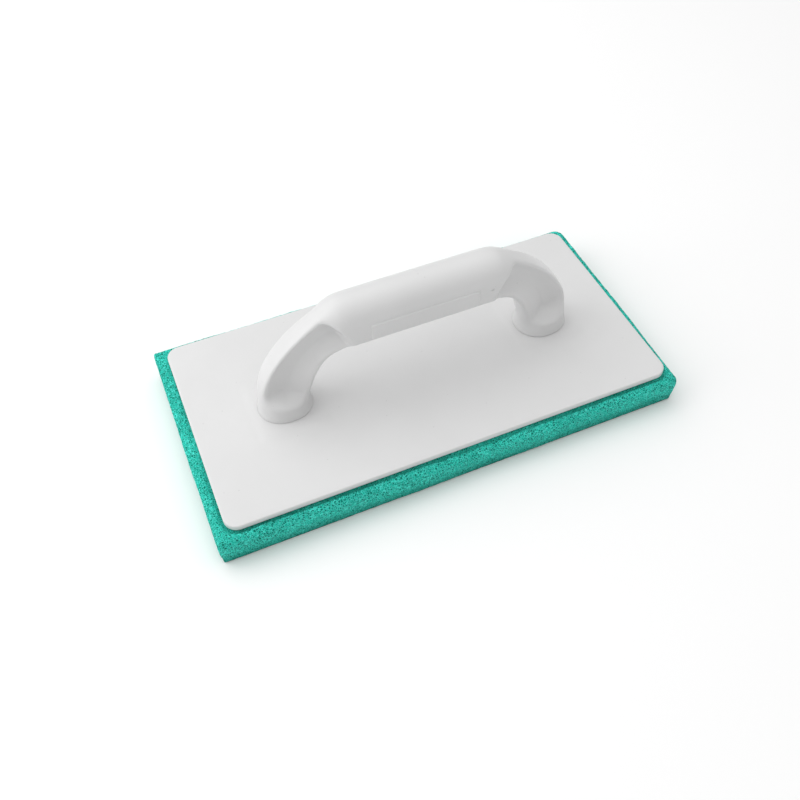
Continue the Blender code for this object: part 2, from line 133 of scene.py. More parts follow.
PLAQUE_RAISE = 0.9 * MM
PLAQUE_DEPTH = 1.6 * MM
PLAQUE_CORNER = 1.0 * MM
PLAQUE_CORNER_STEPS = 5
PLAQUE_RIM = 0.75 * MM          # chamfer round its face
PLAQUE_FLOOR = 47.4 * MM
GATE_X = 41.3 * MM              # moulding gate mark on the front of the grip
GATE_LEVEL = 56.3 * MM
GATE_RADIUS = 1.2 * MM
GATE_SINK = 0.4 * MM
PILOT_CLEARANCE = 0.5 * MM      # above each screw's point
GRIP_STEP = 2.0 * MM            # between sections
LEG_STATIONS = 72
COLLAR_STATIONS = 10
ARC_STEPS = 16
FLAT_STEPS = 20
HANDLE_SHARP_ANGLE = 34.0       # degrees; an edge that turns further stays sharp

# ---- board --------------------------------------------------------------------------------
BOARD_CORNER = 8.0 * MM
BOARD_EDGE = 0.8 * MM           # radius round its top and bottom edges
BOARD_EDGE_STEPS = 6
BOARD_CELL = 1.6 * MM
SEAT_LENGTH = 44.0 * MM
SEAT_WIDTH = 48.0 * MM
SEAT_RAMP = 2.4 * MM
BOARD_WAVE = 0.06 * MM
BOARD_WAVE_SIZE = 60 * MM
BOARD_SKIN = 0.1 * BOARD_EDGE   # what is this close to the top rises and waves with it
BOARD_SHARP_ANGLE = 35.0
SCREW_HOLE_RADIUS = 2.3 * MM    # through the board and in the feet
ROUND_SIDES = 32                # of a round hole
SCREW_HEAD_GAP = 0.3 * MM
COUNTERSINK_SIDES = 45          # unlike the hole's, so that their edges don't coincide

# ---- foam pad -----------------------------------------------------------------------------
PAD_CELL = 1.4 * MM             # of its working face; its sides are twice as fine
PAD_CORNERS = {(-1, -1): 1.6 * MM, (1, -1): 3.4 * MM, (1, 1): 5.5 * MM, (-1, 1): 1.4 * MM}
SMALLEST_RADIUS = 0.3 * MM      # of a corner that is drawn in
PAD_RIM = 1.5 * MM
PAD_RIM_STEPS = 4
PAD_SHOULDER = 1.8 * MM         # radius of its top edge at the back and the ends
PAD_FRONT_SHOULDER = 6.5 * MM   # and at the front, where it is worn rounder
PAD_SHOULDER_POWER = 2.0
PAD_SHOULDER_ROWS = 16
PAD_SHOULDER_LEAD = 3           # rows that rise to where a smaller radius starts
PAD_PINCH = 1.3 * MM            # how far the top sinks where it meets the board
PAD_PINCH_REACH = 2.5 * MM
PAD_BELLY = 1.0 * MM            # how far the sides draw in towards the floor
PAD_SIDE_ROWS = 16
PAD_SPREAD_X = 0.8 * MM         # how far the soft pad spreads past its CAD box at +X
PAD_SPREAD_Y = 1.6 * MM         # and at +Y
PAD_TOP_GAP = 0.05 * MM         # below the glue film
PAD_TOP_INSETS = (2 * MM, 5 * MM, 10 * MM)
PAD_SEED = 11
PAD_GLUED = 0.02 * MM           # foam this close to its top is held flat by the glue
PAD_GRAIN = 0.10 * MM
PAD_PORE = 1.5 * MM
PAD_PORE_DEPTH = 0.30 * MM
PAD_PORE_EDGE = 0.55            # radius of a pore, in pore sizes
PAD_LUMP = 0.20 * MM
PAD_LUMP_SIZE = 4 * MM
PAD_SWELL = 0.5 * MM
PAD_SWELL_SIZE = 40 * MM
PAD_FACE_LEVEL = 0.3 * MM       # below this the pad is its working face
PAD_FACE_ROUGHNESS = 0.7        # of the roughness elsewhere, and only inwards

# ---- finishes: sizes in metres, ranges as (from, to), colours as linear red, green, blue ------
CLOUD_RANGE = (0.3, 0.7)        # of a noise's values, stretched over the whole change
SHEEN_RANGE = (0.25, 0.75)
BOARD_WHITE = (0.70, 0.70, 0.70)
HANDLE_WHITE = (0.71, 0.71, 0.71)
PLASTIC_CLOUD = 45 * MM         # slow changes of tone
PLASTIC_CLOUD_TONE = 0.975      # of its own colour, where it is darkest
PLASTIC_SHEEN = 12 * MM         # patches that are glossier or duller
PLASTIC_GLOSSIER = 0.06
PLASTIC_DULLER = 0.07
PLASTIC_WAVE = 28 * MM          # the moulding's slight unevenness
PLASTIC_WAVE_DEPTH = 0.25 * MM
PLASTIC_WAVE_STRENGTH = 0.35
PLASTIC_GRAIN_DEPTH = 0.03 * MM
PLASTIC_IOR = 1.5
PLASTIC_GLOW = 0.08             # share of the light that passes under its skin
PLASTIC_GLOW_DEPTH = 1.2 * MM
SPECK_SPACING = 9 * MM
SPECK_RADII = (0.028, 0.05)     # from full to none, as shares of the spacing
SPECK_STRENGTH = 0.32
SPECK_TONE = 0.55               # of the plastic's own colour

FOAM_PORE = 1.25 * MM
FOAM_FINE_PORE = 0.75 * MM
FOAM_WALL = (0.03, 0.20)        # from filament to pore, as shares of the pore
FOAM_FINE_WALL = (0.04, 0.24)
FOAM_WARP = 1.1 * MM            # how far the pores are pushed out of line
FOAM_WARP_SIZE = 2.4 * MM
# painted shade inside the pores: their colours are darker than the filaments'
FOAM_PORE_RANGE = (0.15, 0.75)  # of a pore's random value, from its lightest to its darkest
FOAM_PORE_LIGHT = (0.020, 0.64, 0.490)
FOAM_PORE_DARK = (0.002, 0.24, 0.168)
FOAM_NET_LIGHT = (0.135, 1.00, 0.88)
FOAM_NET_DARK = (0.022, 0.86, 0.665)
FOAM_CLOUD = 16 * MM
FOAM_CLOUD_STRENGTH = 0.20
FOAM_CLOUD_COLOUR = (0.012, 0.34, 0.26)
# painted shade where a wall, the board or the floor is near
FOAM_SHADE_REACH = 5 * MM
FOAM_SHADE_SAMPLES = 8
FOAM_SHADE_RANGE = (0.0, 0.8)   # of how open a place is
FOAM_SHADE_COLOUR = (0.012, 0.32, 0.24)
FOAM_LOW_SHADE_HEIGHT = 11.0 * MM         # painted shade: height over which the sides are darker towards the floor
FOAM_LOW_SHADE_STRENGTH = 0.55
FOAM_LOW_SHADE_COLOUR = (0.004, 0.17, 0.12)
FOAM_FINE_RELIEF = 0.35         # of the relief of the larger pores
FOAM_RELIEF = 0.5 * MM
FOAM_RELIEF_STRENGTH = 0.9
FOAM_ROUGHNESS = (0.55, 0.95)   # from filament to pore
FOAM_SPECULAR = 0.12

STEEL_CLOUD = 1.5 * MM
STEEL_DARK = (0.52, 0.53, 0.55)
STEEL_LIGHT = (0.66, 0.66, 0.65)
STEEL_RANGE = (0.2, 0.8)
STEEL_ROUGHNESS = (0.24, 0.42)

GLUE_CLOUD = 6 * MM
GLUE_DARK = (0.50, 0.33, 0.12)
GLUE_LIGHT = (0.70, 0.50, 0.22)
GLUE_RELIEF = 0.15 * MM
GLUE_RELIEF_STRENGTH = 0.5
GLUE_ROUGHNESS = 0.35


# ---- helpers ------------------------------------------------------------------------------
def link(item):
    bpy.context.scene.collection.objects.link(item)
    return item


def mesh_object(name, vertices, faces):
    mesh = bpy.data.meshes.new(name)
    mesh.from_pydata(vertices, [], faces)
    mesh.validate()
    return link(bpy.data.objects.new(name, mesh))


def object_from(work, name):
    """Turn a bmesh into an object, and free it."""
    mesh = bpy.data.meshes.new(name)
    work.to_mesh(mesh)
    work.free()
    return link(bpy.data.objects.new(name, mesh))


def apply_modifiers(item):
    bpy.context.view_layer.update()
    seen = item.evaluated_get(bpy.context.evaluated_depsgraph_get())
    mesh = bpy.data.meshes.new_from_object(seen)
    item.modifiers.clear()
    item.data = mesh


def cut(item, tools, operation="DIFFERENCE"):
    """Apply a Boolean with each tool, and remove the tools."""
    for tool in tools:
        modifier = item.modifiers.new(tool.name, "BOOLEAN")
        modifier.operation = operation
        modifier.solver = "EXACT"
        modifier.object = tool
    apply_modifiers(item)
    for tool in tools:
        bpy.data.objects.remove(tool, do_unlink=True)


def cylinder(name, radius, depth):
    work = bmesh.new()
    bmesh.ops.create_cone(work, cap_ends=True, segments=ROUND_SIDES, radius1=radius,
                          radius2=radius, depth=depth)
    return object_from(work, name)


def shade(item, sharp_angle):
    item.data.shade_smooth()
    item.data.set_sharp_from_angle(angle=math.radians(sharp_angle))


def wear(item, material):
    item.data.materials.clear()
    item.data.materials.append(material)


def ease(value):
    value = min(max(value, 0.0), 1.0)
    return value * value * (3.0 - 2.0 * value)


def mix(first, second, share):
    return first + (second - first) * share


# ---- camera, stage and light ------------------------------------------------------------
def add_camera():
    data = bpy.data.cameras.new("camera")
    data.lens = CAMERA_LENS
    data.sensor_width = CAMERA_SENSOR
    data.clip_start = CAMERA_NEAREST
    data.clip_end = CAMERA_FARTHEST
    camera = link(bpy.data.objects.new("camera", data))
    aim = (CAMERA_AT - CAMERA_FROM).to_track_quat("-Z", "Y").to_matrix().to_4x4()
    camera.matrix_world = (Matrix.Translation(BOARD_MIDDLE + CAMERA_FROM) @ aim
                           @ Matrix.Rotation(CAMERA_ROLL, 4, "Z"))
    bpy.context.scene.camera = camera


def add_sky():
    """A white sky, brighter overhead than at the horizon."""
    world = bpy.data.worlds.new("studio")
    world.use_nodes = True
    nodes, links = world.node_tree.nodes, world.node_tree.links
    split = nodes.new("ShaderNodeSeparateXYZ")
    links.new(nodes.new("ShaderNodeTexCoord").outputs["Generated"], split.inputs[0])
    glow = nodes.new("ShaderNodeMapRange")
    glow.inputs["To Min"].default_value = SKY_AT_HORIZON
    glow.inputs["To Max"].default_value = SKY_OVERHEAD
    links.new(split.outputs["Z"], glow.inputs["Value"])
    background = nodes["Background"]
    background.inputs["Color"].default_value = (1.0, 1.0, 1.0, 1.0)
    links.new(glow.outputs["Result"], background.inputs["Strength"])
    bpy.context.scene.world = world


def add_floor():
    work = bmesh.new()
    bmesh.ops.create_grid(work, x_segments=1, y_segments=1, size=FLOOR_HALF_SIZE)
    floor = object_from(work, "floor")
    floor.location.z = PAD_LOW.z - FLOOR_DROP
    material, shader, _, _ = start_material("floor")
    shader.inputs["Base Color"].default_value = (*FLOOR_WHITE, 1.0)
    shader.inputs["Roughness"].default_value = FLOOR_ROUGHNESS
    shader.inputs["Specular IOR Level"].default_value = FLOOR_SPECULAR
    wear(floor, material)


def add_area_light(name, place, size, power):
    data = bpy.data.lights.new(name, "AREA")
    data.shape = "DISK"
    data.size = size
    data.energy = power
    light = link(bpy.data.objects.new(name, data))
    light.location = place
    aim = Vector(LIGHTS_AIM_AT) - Vector(place)
    light.rotation_euler = aim.to_track_quat("-Z", "Y").to_euler()


def add_stage():
    view = bpy.context.scene.view_settings
    view.view_transform = "Standard"
    view.look = "None"
    add_sky()
    add_floor()
    for light in AREA_LIGHTS:
        add_area_light(*light)


# ---- materials ----------------------------------------------------------------------------
def start_material(name):
    """A new material: returns it, its shader, its nodes and its links."""
    material = bpy.data.materials.new(name)
    material.use_nodes = True
    nodes = material.node_tree.nodes
    return material, nodes["Principled BSDF"], nodes, material.node_tree.links


def object_space(nodes):
    return nodes.new("ShaderNodeTexCoord").outputs["Object"]


def noise_node(nodes, links, space, size, detail, output="Fac"):
    """A noise texture whose features are about this size, in metres."""
    node = nodes.new("ShaderNodeTexNoise")
    node.inputs["Scale"].default_value = 1.0 / size
    node.inputs["Detail"].default_value = detail
    links.new(space, node.inputs["Vector"])
    return node.outputs[output]


def cells_node(nodes, links, space, size, feature, output="Distance"):
    """A Voronoi texture with cells of about this size, in metres."""
    node = nodes.new("ShaderNodeTexVoronoi")
    node.feature = feature
    node.inputs["Scale"].default_value = 1.0 / size
    links.new(space, node.inputs["Vector"])
    return node.outputs[output]


def remap(nodes, links, value, old_range, new_range):
    node = nodes.new("ShaderNodeMapRange")
    node.interpolation_type = "SMOOTHSTEP"
    node.inputs["From Min"].default_value = old_range[0]
    node.inputs["From Max"].default_value = old_range[1]
    node.inputs["To Min"].default_value = new_range[0]
    node.inputs["To Max"].default_value = new_range[1]
    links.new(value, node.inputs["Value"])
    return node.outputs["Result"]


def blend_colours(nodes, links, share, first, second):
    """From the first colour to the second; each is a tuple or a node's output."""
    node = nodes.new("ShaderNodeMix")
    node.data_type = "RGBA"
    for socket, colour in ((node.inputs[6], first), (node.inputs[7], second)):
        if isinstance(colour, tuple):
            socket.default_value = (*colour, 1.0)
        else:
            links.new(colour, socket)
    links.new(share, node.inputs[0])
    return node.outputs[2]


def add_bump(nodes, links, height, distance, strength, before=None):
    node = nodes.new("ShaderNodeBump")
    node.inputs["Distance"].default_value = distance
    node.inputs["Strength"].default_value = strength
    links.new(height, node.inputs["Height"])
    if before is not None:
        links.new(before, node.inputs["Normal"])
    return node.outputs["Normal"]


def dimmed(colour, tone):
    return tuple(tone * part for part in colour)


def moulded_plastic(name, colour, roughness, grain_size, grain_strength):
    """White moulded plastic: fine spark texture, slight unevenness and rare specks."""
    material, shader, nodes, links = start_material(name)
    space = object_space(nodes)
    cloud = noise_node(nodes, links, space, PLASTIC_CLOUD, detail=3.0)
    tone = remap(nodes, links, cloud, CLOUD_RANGE, (0.0, 1.0))
    clean = blend_colours(nodes, links, tone, dimmed(colour, PLASTIC_CLOUD_TONE), colour)
    specks = cells_node(nodes, links, space, SPECK_SPACING, "F1")
    speck = remap(nodes, links, specks, SPECK_RADII, (SPECK_STRENGTH, 0.0))
    marked = blend_colours(nodes, links, speck, clean, dimmed(colour, SPECK_TONE))
    links.new(marked, shader.inputs["Base Color"])
    sheen = noise_node(nodes, links, space, PLASTIC_SHEEN, detail=4.0)
    links.new(remap(nodes, links, sheen, SHEEN_RANGE,
                    (roughness - PLASTIC_GLOSSIER, roughness + PLASTIC_DULLER)),
              shader.inputs["Roughness"])
    wavy = noise_node(nodes, links, space, PLASTIC_WAVE, detail=1.0)
    normal = add_bump(nodes, links, wavy, PLASTIC_WAVE_DEPTH, PLASTIC_WAVE_STRENGTH)
    grain = noise_node(nodes, links, space, grain_size, detail=2.0)
    normal = add_bump(nodes, links, grain, PLASTIC_GRAIN_DEPTH, grain_strength, normal)
    links.new(normal, shader.inputs["Normal"])
    shader.inputs["IOR"].default_value = PLASTIC_IOR
    shader.inputs["Subsurface Weight"].default_value = PLASTIC_GLOW
    shader.inputs["Subsurface Radius"].default_value = (1.0, 1.0, 1.0)
    shader.inputs["Subsurface Scale"].default_value = PLASTIC_GLOW_DEPTH
    return material


def warped_space(nodes, links, space):
    """The foam's own space, in which its pores are out of line."""
    warp = noise_node(nodes, links, space, FOAM_WARP_SIZE, detail=2.0, output="Color")
    shift = nodes.new("ShaderNodeVectorMath")
    shift.operation = "MULTIPLY_ADD"
    shift.inputs[1].default_value = (FOAM_WARP, FOAM_WARP, FOAM_WARP)
    links.new(warp, shift.inputs[0])
    links.new(space, shift.inputs[2])
    return shift.outputs["Vector"]


def foam_relief(nodes, links, pore, fine_pore):
    """Height of the foam's surface: filaments stand proud of large and fine pores."""
    level = nodes.new("ShaderNodeMath")
    level.operation = "SUBTRACT"
    level.inputs[0].default_value = 1.0
    links.new(pore, level.inputs[1])
    height = nodes.new("ShaderNodeMath")
    height.operation = "MULTIPLY_ADD"
    height.inputs[1].default_value = -FOAM_FINE_RELIEF
    links.new(fine_pore, height.inputs[0])
    links.new(level.outputs[0], height.inputs[2])
    return height.outputs[0]


def foam_cloud_and_shade(nodes, links, space, clean):
    """The foam's colour once it is clouded, with painted shade in its corners and painted shade
    low down, towards the floor.
    """
    cloud = noise_node(nodes, links, space, FOAM_CLOUD, detail=4.0)
    tone = remap(nodes, links, cloud, CLOUD_RANGE, (0.0, FOAM_CLOUD_STRENGTH))
    colour = blend_colours(nodes, links, tone, clean, FOAM_CLOUD_COLOUR)
    # painted shade: the colour darkens wherever a wall, the board or the floor is near
    nearness = nodes.new("ShaderNodeAmbientOcclusion")
    nearness.samples = FOAM_SHADE_SAMPLES
    nearness.inputs["Distance"].default_value = FOAM_SHADE_REACH
    open_air = remap(nodes, links, nearness.outputs["AO"], FOAM_SHADE_RANGE, (0.0, 1.0))
    colour = blend_colours(nodes, links, open_air, FOAM_SHADE_COLOUR, colour)
    # painted shade: the sides darken towards the floor
    level_above = nodes.new("ShaderNodeSeparateXYZ")
    links.new(space, level_above.inputs[0])
    low_down = remap(nodes, links, level_above.outputs["Z"], (FOAM_LOW_SHADE_HEIGHT, 0.0),
                     (0.0, FOAM_LOW_SHADE_STRENGTH))
    return blend_colours(nodes, links, low_down, colour, FOAM_LOW_SHADE_COLOUR)


def foam():
    """Open-cell foam: a net of bright filaments over pores of uneven size, darkened with painted
    shade.
    """
    material, shader, nodes, links = start_material("sponge_foam")
    space = object_space(nodes)
    loose = warped_space(nodes, links, space)
    edges = cells_node(nodes, links, loose, FOAM_PORE, "DISTANCE_TO_EDGE")
    pore = remap(nodes, links, edges, FOAM_WALL, (0.0, 1.0))
    fine_edges = cells_node(nodes, links, loose, FOAM_FINE_PORE, "DISTANCE_TO_EDGE")
    fine_pore = remap(nodes, links, fine_edges, FOAM_FINE_WALL, (0.0, 1.0))
    # painted shade: pores are coloured darker than the filaments, for the shade inside them; how
    # dark differs at random from pore to pore
    depth_of_pore = cells_node(nodes, links, loose, FOAM_PORE, "F1", output="Color")
    darkness = remap(nodes, links, depth_of_pore, FOAM_PORE_RANGE, (0.0, 1.0))
    inside = blend_colours(nodes, links, darkness, FOAM_PORE_LIGHT, FOAM_PORE_DARK)
    # painted shade: the net darkens into its fine pores
    net = blend_colours(nodes, links, fine_pore, FOAM_NET_LIGHT, FOAM_NET_DARK)
    both = blend_colours(nodes, links, pore, net, inside)
    links.new(foam_cloud_and_shade(nodes, links, space, both), shader.inputs["Base Color"])
    height = foam_relief(nodes, links, pore, fine_pore)
    links.new(add_bump(nodes, links, height, FOAM_RELIEF, FOAM_RELIEF_STRENGTH),
              shader.inputs["Normal"])
    links.new(remap(nodes, links, pore, (0.0, 1.0), FOAM_ROUGHNESS),
              shader.inputs["Roughness"])
    shader.inputs["Specular IOR Level"].default_value = FOAM_SPECULAR
    return material


def zinc_steel():
    material, shader, nodes, links = start_material("screw_steel")
    cloud = noise_node(nodes, links, object_space(nodes), STEEL_CLOUD, detail=4.0)
    links.new(blend_colours(nodes, links, cloud, STEEL_DARK, STEEL_LIGHT),
              shader.inputs["Base Color"])
    links.new(remap(nodes, links, cloud, STEEL_RANGE, STEEL_ROUGHNESS),
              shader.inputs["Roughness"])
    shader.inputs["Metallic"].default_value = 1.0
    return material


def dried_glue():
    material, shader, nodes, links = start_material("contact_adhesive")
    cloud = noise_node(nodes, links, object_space(nodes), GLUE_CLOUD, detail=5.0)
    links.new(blend_colours(nodes, links, cloud, GLUE_DARK, GLUE_LIGHT),
              shader.inputs["Base Color"])
    links.new(add_bump(nodes, links, cloud, GLUE_RELIEF, GLUE_RELIEF_STRENGTH),
              shader.inputs["Normal"])
    shader.inputs["Roughness"].default_value = GLUE_ROUGHNESS
    return material


# ---- handle -------------------------------------------------------------------------------
def bezier(start, start_handle, end_handle, end, share):
    rest = 1.0 - share
    return (start * rest ** 3 + start_handle * 3 * rest ** 2 * share
            + end_handle * 3 * rest * share ** 2 + end * share ** 3)


def leg_lines(share):
    """Points of the leg's outer and inner lines, as (x, z) above the board's top face."""
    shoulder = Vector((GRIP_TOP_HALF_LENGTH, HANDLE_TOP))
    armpit = Vector((GRIP_UNDERSIDE_HALF_LENGTH, GRIP_UNDERSIDE))
    outer_collar = Vector((FOOT_X + LEG_HALF_DEPTH, COLLAR_HEIGHT))
    inner_collar = Vector((FOOT_X - LEG_HALF_DEPTH, COLLAR_HEIGHT))
    leave_shoulder = Vector((math.cos(SHOULDER_SLOPE), -math.sin(SHOULDER_SLOPE)))
    leave_armpit = Vector((math.cos(ARMPIT_SLOPE), -math.sin(ARMPIT_SLOPE)))
    outer = bezier(shoulder, shoulder + leave_shoulder * SHOULDER_PULL,
                   outer_collar + Vector((0.0, OUTER_COLLAR_PULL)), outer_collar, share)
    inner = bezier(armpit, armpit + leave_armpit * ARMPIT_PULL,
                   inner_collar + Vector((0.0, INNER_COLLAR_PULL)), inner_collar, share)
    return outer, inner


def half_outline(half_width, half_depth, inner_radius, outer_radii, crown):
    """Half of a section, as (across, out) points from its inner to its outer middle."""
    quarter = math.pi / 2
    corner_in = min(inner_radius, half_width * FULLEST_CORNER)
    corner_in_deep = min(inner_radius, half_depth * FULLEST_CORNER)
    corner_deep = min(outer_radii[0], half_depth * FULLEST_CORNER)
    corner_out = min(outer_radii[1], half_width * FULLEST_CORNER)
    points = [(-half_depth, 0.0), (-half_depth, (half_width - corner_in) / 2)]
    for step in range(ARC_STEPS + 1):
        turn = quarter * step / ARC_STEPS
        points.append((-half_depth + corner_in_deep * (1.0 - math.cos(turn)),
                       half_width - corner_in + corner_in * math.sin(turn)))
    flat_start = -half_depth + corner_in_deep
    flat_end = half_depth - corner_deep
    for step in range(1, FLAT_STEPS):
        points.append((mix(flat_start, flat_end, step / FLAT_STEPS), half_width))
    for step in range(ARC_STEPS + 1):
        turn = quarter * step / ARC_STEPS
        points.append((flat_end + corner_deep * math.sin(turn),
                       half_width - corner_out + corner_out * math.cos(turn)))
    points += [(half_depth, (half_width - corner_out) / 2), (half_depth, 0.0)]
    return [(across - crown * (out / half_width) ** 2 * max(across, 0.0) / half_depth, out)
            for across, out in points]


def soft_minimum(first, second, softness):
    near = max(softness - abs(first - second), 0.0) / softness
    return min(first, second) - near * near * softness / 4.0


def scooped(out, across, along):
    """How far out the leg's side is once scooped, at a place on its section.

    The scoop drops steeply from the rim to its floor, then rises gently to the inner side.
    """
    if across > SCOOP_FLOOR:
        rise = (across - SCOOP_FLOOR) / (1.0 - SCOOP_FLOOR)
        wall = mix(WEB_HALF_WIDTH, RIM_HALF_WIDTH, rise ** SCOOP_WALL_CURVE)
    else:
        rise = (SCOOP_FLOOR - across) / (1.0 + SCOOP_FLOOR)
        wall = mix(WEB_HALF_WIDTH, LEG_HALF_WIDTH, rise ** SCOOP_RISE_CURVE)
    start = SCOOP_START * ((1.0 + across) / 2) ** SCOOP_START_CURVE
    ends = (ease((along - start) / SCOOP_START_RAMP)
            * ease((SCOOP_END - along) / SCOOP_END_RAMP))
    return mix(out, min(out, max(soft_minimum(out, wall, SCOOP_LIP), 0.0)), ends)


# A section is (outer point, inner point, half outline).
def grip_section(share):
    """A section of the grip, from its middle, 0, to the shoulder, 1."""
    outer = Vector((GRIP_TOP_HALF_LENGTH * share, HANDLE_TOP))
    inner = Vector((GRIP_UNDERSIDE_HALF_LENGTH * share, GRIP_UNDERSIDE))
    outline = half_outline(GRIP_HALF_WIDTH, (outer - inner).length / 2, GRIP_EDGE_RADIUS,
                           (GRIP_HALF_WIDTH, GRIP_HALF_WIDTH), 0.0)
    return outer, inner, outline


def leg_section(along):
    """A section of the leg, unscooped: the grip's at 0, its own below, nearly oval at 1."""
    outer, inner = leg_lines(along)
    half_depth = (outer - inner).length / 2
    leave_grip = ease(along / LEAVE_GRIP)
    near_foot = ease((along - NEAR_FOOT) / NEAR_FOOT_RAMP)
    half_width = mix(mix(GRIP_HALF_WIDTH, LEG_HALF_WIDTH, leave_grip),
                     ANKLE_HALF_WIDTH, near_foot)
    inner_radius = mix(mix(GRIP_EDGE_RADIUS, LEG_INNER_RADIUS, leave_grip),
                       half_width, near_foot)
    corner_deep = mix(mix(GRIP_HALF_WIDTH, LEG_OUTER_RADIUS * LEG_OUTER_SQUASH, leave_grip),
                      half_depth, near_foot)
    corner_out = mix(mix(GRIP_HALF_WIDTH, LEG_OUTER_RADIUS, leave_grip),
                     half_width, near_foot)
    crown = LEG_CROWN * leave_grip * (1.0 - near_foot)
    outline = half_outline(half_width, half_depth, inner_radius, (corner_deep, corner_out),
                           crown)
    return outer, inner, outline


def collar_section(share):
    """A section of the flared collar, from the ankle, 0, to the foot's face, 1."""
    level = mix(COLLAR_HEIGHT, FOOT_LEVEL, share)
    flare = ease(share)
    half_depth = mix(LEG_HALF_DEPTH, FOOT_HALF_LENGTH, flare)
    half_width = mix(ANKLE_HALF_WIDTH, FOOT_HALF_WIDTH, flare)
    outer = Vector((FOOT_X + half_depth, level))
    inner = Vector((FOOT_X - half_depth, level))
    outline = half_outline(half_width, half_depth, half_width, (half_depth, half_width), 0.0)
    return outer, inner, outline


def handle_sections():
    """Sections of half of the handle, from the grip's middle to the foot's face."""
    grip_stations = round(GRIP_TOP_HALF_LENGTH / GRIP_STEP)
    sections = [grip_section(station / grip_stations) for station in range(grip_stations)]
    sections += [leg_section(station / LEG_STATIONS) for station in range(LEG_STATIONS + 1)]
    sections += [collar_section(station / COLLAR_STATIONS)
                 for station in range(1, COLLAR_STATIONS + 1)]
    return sections


def smoothed_places(sections):
    """The sections' points in space, smoothed from each section to the next."""
    places = []
    for outer, inner, outline in sections:
        centre = (outer + inner) / 2
        direction = (outer - inner).normalized()
        spots = [centre + direction * across for across, _ in outline]
        places.append([(spot.x, out, spot.y) for spot, (_, out) in zip(spots, outline)])
    places = np.array(places)
    for _ in range(SMOOTHING_PASSES):
        places[1:-1] = (places[:-2] + 2 * places[1:-1] + places[2:]) / 4
    return places


def scoop_leg(places, sections):
    """Draw in the side of each of the leg's sections to its scoop."""
    first_of_leg = len(places) - COLLAR_STATIONS - LEG_STATIONS - 1
    for station in range(LEG_STATIONS + 1):
        _, _, outline = sections[first_of_leg + station]
        half_depth, _ = outline[-1]
        for column, (across, _) in enumerate(outline):
            share = min(max(across / half_depth, -1.0), 1.0)
            place = places[first_of_leg + station, column]
            place[1] = scooped(place[1], share, station / LEG_STATIONS)


def handle_quarter():
    """The quarter of the handle at +X and +Y, open at both mid planes."""
    sections = handle_sections()
    places = smoothed_places(sections)
    scoop_leg(places, sections)
    work = bmesh.new()
    rows = [[work.verts.new(place) for place in row] for row in places]
    for this_row, next_row in zip(rows, rows[1:]):
        for column in range(len(this_row) - 1):
            work.faces.new((this_row[column], this_row[column + 1],
                            next_row[column + 1], next_row[column]))
    work.faces.new(rows[-1])
    return object_from(work, "handle_shell")


def plaque_block():
    """The blank raised label, its back inside the grip and its face chamfered."""
    work = bmesh.new()
    bmesh.ops.create_cube(work, size=1.0)
    bmesh.ops.scale(work, vec=(PLAQUE_LENGTH, PLAQUE_DEPTH, PLAQUE_HEIGHT), verts=work.verts)
    corners = [e for e in work.edges if abs(e.verts[0].co.y - e.verts[1].co.y) > TOUCHING]
    bmesh.ops.bevel(work, geom=corners, offset=PLAQUE_CORNER, segments=PLAQUE_CORNER_STEPS,
                    profile=0.5, affect="EDGES")
    rim = [e for e in work.edges
           if all(v.co.y < -PLAQUE_DEPTH / 2 + TOUCHING for v in e.verts)]
    bmesh.ops.bevel(work, geom=rim, offset=PLAQUE_RIM, segments=1, affect="EDGES")
    block = object_from(work, "plaque")
    block.location = (0.0, -GRIP_HALF_WIDTH - PLAQUE_RAISE + PLAQUE_DEPTH / 2,
                      PLAQUE_FLOOR + PLAQUE_HEIGHT / 2)
    return block


def gate_mark():
    """What cuts the shallow round mark of the moulding gate."""
    gate = cylinder("gate", GATE_RADIUS, 2 * GATE_SINK)
    gate.rotation_euler = (math.pi / 2, 0.0, 0.0)
    gate.location = (GATE_X, -GRIP_HALF_WIDTH, GATE_LEVEL)
    return gate


def pilot_hole(name, origin):
    """What cuts a screw's hole into its foot, from the handle's own origin."""
    low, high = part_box(name)
    middle = (low + high) / 2 - origin
    top = high.z - origin.z + PILOT_CLEARANCE
    pilot = cylinder("pilot_" + name, SCREW_HOLE_RADIUS, 2 * top)
    pilot.location = (middle.x, middle.y, 0.0)
    return pilot


def make_handle(material):
    """The handle: both halves of its shell, the label, the gate mark and the screws' holes."""
    handle = handle_quarter()
    mirror = handle.modifiers.new("Mirror", "MIRROR")
    mirror.use_axis = (True, True, False)
    mirror.merge_threshold = TOUCHING
    apply_modifiers(handle)
    cut(handle, [plaque_block()], "UNION")
    origin = Vector((HANDLE_X, BOARD_MIDDLE.y, BOARD_TOP))
    cut(handle, [gate_mark()] + [pilot_hole(name, origin) for name in SCREW_NODES])
    handle.location = origin
    shade(handle, HANDLE_SHARP_ANGLE)
    wear(handle, material)
    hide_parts("handle")
    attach(handle, "root")


# ---- slabs with rounded outlines ------------------------------------------------------------
def even_corners(radius):
    return dict.fromkeys(PAD_CORNERS, radius)


def outline_point(i, j, cells, low, high, corners):
    """Place of a grid point, with the grid's corner squares drawn in to round corners."""
    half = (high - low) / 2
    x = (2 * i / cells[0] - 1) * half.x
    y = (2 * j / cells[1] - 1) * half.y
    radius = corners[math.copysign(1, x), math.copysign(1, y)]
    over_x = abs(x) - half.x + radius
    over_y = abs(y) - half.y + radius
    if over_x > 0.0 and over_y > 0.0:
        share = max(over_x, over_y) / math.hypot(over_x, over_y)
        x = math.copysign(half.x - radius + over_x * share, x)
        y = math.copysign(half.y - radius + over_y * share, y)
    middle = (low + high) / 2
    return Vector((middle.x + x, middle.y + y))


